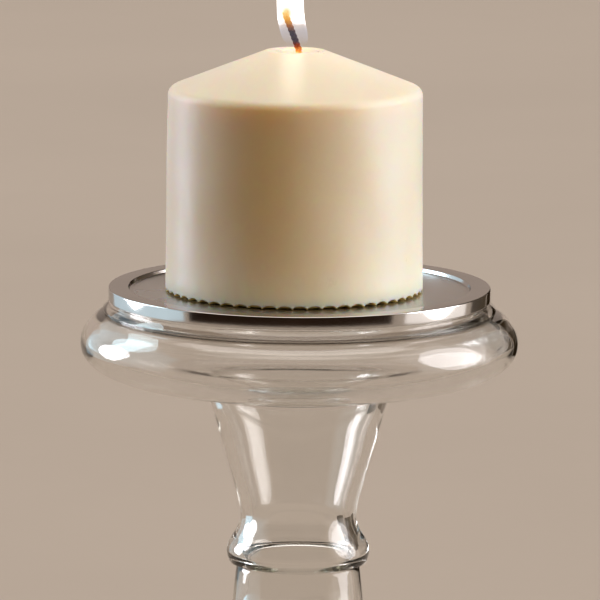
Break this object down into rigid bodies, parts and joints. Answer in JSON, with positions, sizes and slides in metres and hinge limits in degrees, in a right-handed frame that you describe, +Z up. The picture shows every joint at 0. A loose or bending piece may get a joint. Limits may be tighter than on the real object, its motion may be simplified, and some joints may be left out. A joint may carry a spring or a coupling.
{
  "type": "pillar candle holder",
  "caption": "Tall clear glass stand with a rounded disc head, a polished metal drip plate and a loose ivory pillar candle.",
  "frame": {"origin": "on the table under the centre of the foot", "axes": "+Z up along the stem; -Y is the side the viewer sees, +X is to the viewer's right"},
  "size_m": [0.146, 0.146, 0.3867],
  "materials": {
    "clear_glass": "clear blown glass, fire-polished",
    "clear_rubber": "translucent soft silicone",
    "polished_metal": "mirror-polished plated steel",
    "ivory_wax": "smooth ivory wax with a satin skin",
    "tin": "plain tinned sheet",
    "charred_wick": "braided cotton, burnt at the tip",
    "flame": "candle flame, a glow without substance"
  },
  "bodies": {
    "holder": {"glass_head": "clear_glass", "glass_column": "clear_glass", "glass_foot": "clear_glass", "foot_pad_1": "clear_rubber", "foot_pad_2": "clear_rubber", "foot_pad_3": "clear_rubber", "foot_pad_4": "clear_rubber"},
    "plate": {"drip_plate": "polished_metal", "seat_cushion": "clear_rubber"},
    "candle": {"wax_pillar": "ivory_wax", "wick_tab": "tin", "wick": "charred_wick"}
  },
  "joints": [
    {"name": "plate_lift", "type": "slide", "parent": "holder", "child": "plate", "axis": [0, 0, 1], "range_m": [0, 0.06]},
    {"name": "candle_lift", "type": "slide", "parent": "plate", "child": "candle", "axis": [0, 0, 1], "range_m": [0, 0.1]}
  ]
}
